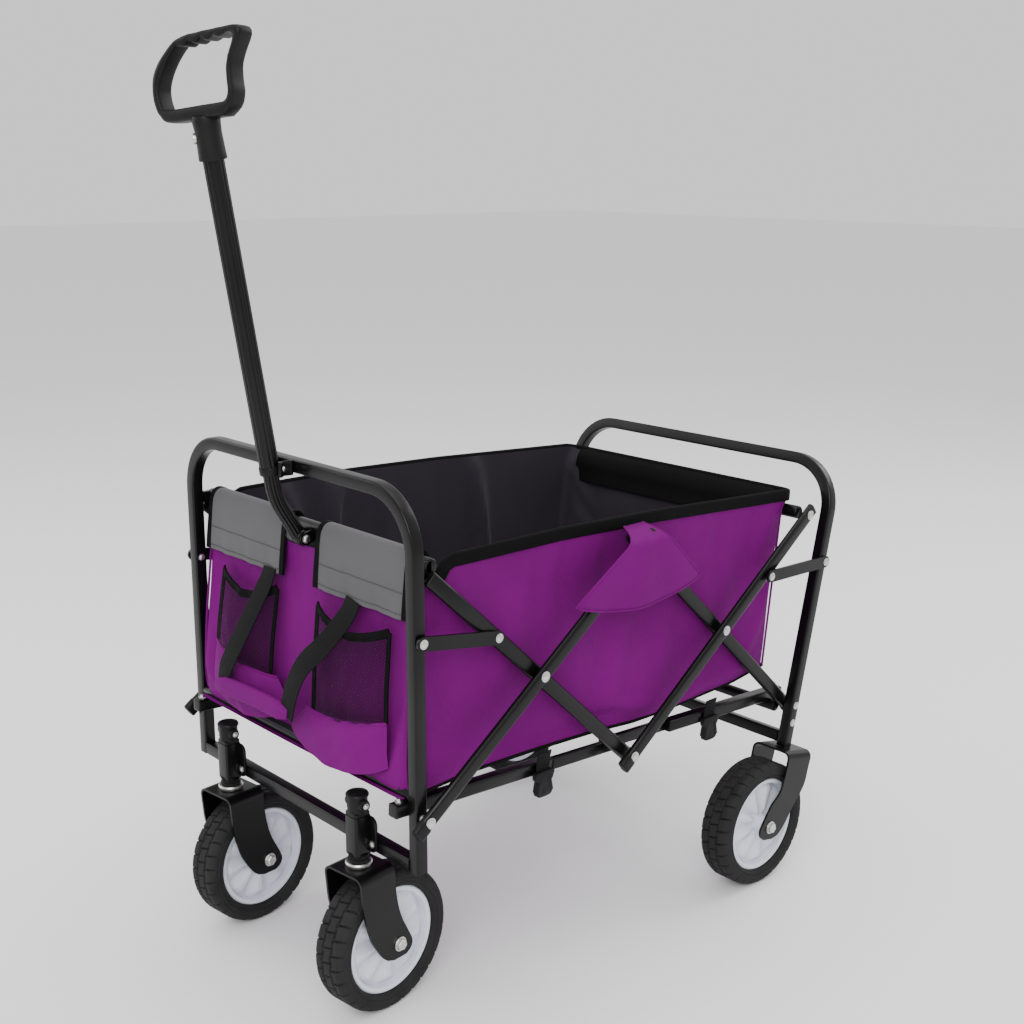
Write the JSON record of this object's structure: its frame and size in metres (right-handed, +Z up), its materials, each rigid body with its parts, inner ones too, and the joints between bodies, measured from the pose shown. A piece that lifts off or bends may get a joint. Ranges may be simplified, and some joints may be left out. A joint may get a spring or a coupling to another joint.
{
  "type": "folding wagon with pull handle",
  "caption": "Folding utility wagon: arched steel tube frames, scissor side bars, hung fabric bag, swivelling front casters and a telescopic pull handle.",
  "frame": {"origin": "on the ground, centre of the footprint at rest, all wheels standing at z = 0", "axes": "+Z up, +X across the wagon to the left side of someone pulling it, -Y the pull-handle end"},
  "size_m": [0.5734, 0.8786, 1.1338],
  "materials": {
    "frame_black": "satin powder coat",
    "plastic_black": "moulded, fine grain",
    "zinc_steel": "zinc plated",
    "tyre_black": "moulded tread",
    "hub_white": "moulded",
    "fabric_purple": "woven polyester twill",
    "mesh_black": "open diamond mesh with bound edges"
  },
  "bodies": {
    "root": {"front_arch": "frame_black", "front_axle_beam": "frame_black", "front_cross_tube": "frame_black", "handle_clip": "frame_black", "caster_socket_left": "frame_black", "caster_socket_right": "frame_black", "caster_plug_left": "plastic_black", "caster_plug_right": "plastic_black", "bag_side_left": "fabric_purple", "bag_side_right": "fabric_purple", "bag_flap_left": "fabric_purple", "bag_flap_right": "fabric_purple", "front_pocket_left": "mesh_black", "front_pocket_right": "mesh_black", "bag_front": "fabric_purple", "bag_rear": "fabric_purple", "bag_floor_mat": "fabric_purple"},
    "front_outer_bars": {"front_outer_bar_left": "frame_black", "front_outer_bar_right": "frame_black"},
    "front_inner_bars": {"front_inner_bar_left": "frame_black", "front_inner_bar_right": "frame_black"},
    "rear_inner_bars": {"rear_inner_bar_left": "frame_black", "rear_inner_bar_right": "frame_black"},
    "rear_outer_bars": {"rear_outer_bar_left": "frame_black", "rear_outer_bar_right": "frame_black"},
    "rear_frame": {"rear_arch": "frame_black", "rear_axle_beam": "frame_black", "rear_cross_tube": "frame_black", "rear_fork_left": "frame_black", "rear_fork_right": "frame_black", "rear_left_axle_bolt": "zinc_steel", "rear_right_axle_bolt": "zinc_steel"},
    "front_links": {"front_link_left": "frame_black", "front_link_right": "frame_black"},
    "rear_links": {"rear_link_left": "frame_black", "rear_link_right": "frame_black"},
    "rails_front": {"floor_rails_front": "frame_black"},
    "rails_rear": {"floor_rails_rear": "frame_black"},
    "caster_left": {"caster_fork_left": "frame_black", "caster_stem_left": "zinc_steel", "front_left_axle_bolt": "zinc_steel"},
    "caster_right": {"caster_fork_right": "frame_black", "caster_stem_right": "zinc_steel", "front_right_axle_bolt": "zinc_steel"},
    "wheel_front_left": {"front_left_tyre": "tyre_black", "front_left_hub": "hub_white"},
    "wheel_front_right": {"front_right_tyre": "tyre_black", "front_right_hub": "hub_white"},
    "wheel_rear_left": {"rear_left_tyre": "tyre_black", "rear_left_hub": "hub_white"},
    "wheel_rear_right": {"rear_right_tyre": "tyre_black", "rear_right_hub": "hub_white"},
    "handle_lower": {"handle_lower_shaft": "frame_black"},
    "handle_upper": {"handle_upper_tube": "frame_black", "grip_collar": "plastic_black", "handle_grip": "plastic_black"}
  },
  "joints": [
    {"name": "fold", "type": "hinge", "parent": "root", "child": "front_outer_bars", "pos_m": [0, -0.318, 0.2823], "axis": [1, 0, 0], "range_deg": [0, 42], "deforming": ["bag_side_left", "bag_side_right", "bag_flap_left", "bag_flap_right", "front_pocket_left", "front_pocket_right", "bag_front", "bag_rear", "bag_floor_mat"]},
    {"name": "front_inner_pivot", "type": "hinge", "parent": "front_outer_bars", "child": "front_inner_bars", "pos_m": [0, -0.14237, 0.41145], "axis": [1, 0, 0], "range_deg": [-84, 0]},
    {"name": "rear_inner_pivot", "type": "hinge", "parent": "front_outer_bars", "child": "rear_inner_bars", "pos_m": [0, 0.03325, 0.54061], "axis": [1, 0, 0], "range_deg": [-84, 0]},
    {"name": "rear_frame_pivot", "type": "hinge", "parent": "rear_inner_bars", "child": "rear_frame", "pos_m": [0, 0.35249, 0.24364], "axis": [1, 0, 0], "range_deg": [0, 42]},
    {"name": "rear_outer_pivot", "type": "hinge", "parent": "rear_inner_bars", "child": "rear_outer_bars", "pos_m": [0, 0.19287, 0.39213], "axis": [1, 0, 0], "range_deg": [0, 84]},
    {"name": "front_link_pivot", "type": "hinge", "parent": "root", "child": "front_links", "pos_m": [0, -0.318, 0.4905], "axis": [1, 0, 0], "range_deg": [0, 78]},
    {"name": "rear_link_pivot", "type": "hinge", "parent": "rear_frame", "child": "rear_links", "pos_m": [0, 0.3994, 0.4497], "axis": [1, 0, 0], "range_deg": [-66.4, 0]},
    {"name": "front_rail_pivot", "type": "hinge", "parent": "root", "child": "rails_front", "pos_m": [0, -0.318, 0.305], "axis": [1, 0, 0], "range_deg": [0, 75.6]},
    {"name": "rear_rail_pivot", "type": "hinge", "parent": "rear_frame", "child": "rails_rear", "pos_m": [0, 0.342, 0.238], "axis": [1, 0, 0], "range_deg": [-81.9, 0]},
    {"name": "handle_swing", "type": "hinge", "parent": "root", "child": "handle_lower", "pos_m": [0, -0.312, 0.562], "axis": [1, 0, 0], "range_deg": [0, 120]},
    {"name": "handle_extend", "type": "slide", "parent": "handle_lower", "child": "handle_upper", "axis": [0, -0.1582, 0.9874], "range_m": [0, 0.2]},
    {"name": "swivel_left", "type": "hinge", "parent": "root", "child": "caster_left", "pos_m": [0.141, -0.3376, 0.2], "axis": [0, 0, 1], "continuous": true},
    {"name": "swivel_right", "type": "hinge", "parent": "root", "child": "caster_right", "pos_m": [-0.141, -0.3376, 0.2], "axis": [0, 0, 1], "continuous": true},
    {"name": "spin_front_left", "type": "hinge", "parent": "caster_left", "child": "wheel_front_left", "pos_m": [0.13746, -0.30389, 0.089], "axis": [0.9945, 0.1045, 0], "continuous": true},
    {"name": "spin_front_right", "type": "hinge", "parent": "caster_right", "child": "wheel_front_right", "pos_m": [-0.14454, -0.30389, 0.089], "axis": [0.9945, 0.1045, 0], "continuous": true},
    {"name": "spin_rear_left", "type": "hinge", "parent": "rear_frame", "child": "wheel_rear_left", "pos_m": [0.2485, 0.273, 0.089], "axis": [1, 0, 0], "continuous": true},
    {"name": "spin_rear_right", "type": "hinge", "parent": "rear_frame", "child": "wheel_rear_right", "pos_m": [-0.2485, 0.273, 0.089], "axis": [1, 0, 0], "continuous": true}
  ],
  "couplings": [
    {"joint": "front_inner_pivot", "follows": "fold", "ratio": -2},
    {"joint": "rear_inner_pivot", "follows": "fold", "ratio": -2},
    {"joint": "rear_frame_pivot", "follows": "fold", "ratio": 1},
    {"joint": "rear_outer_pivot", "follows": "fold", "ratio": 2},
    {"joint": "front_link_pivot", "follows": "fold", "ratio": 1.8571},
    {"joint": "rear_link_pivot", "follows": "fold", "ratio": -1.581},
    {"joint": "front_rail_pivot", "follows": "fold", "ratio": 1.8},
    {"joint": "rear_rail_pivot", "follows": "fold", "ratio": -1.95}
  ]
}
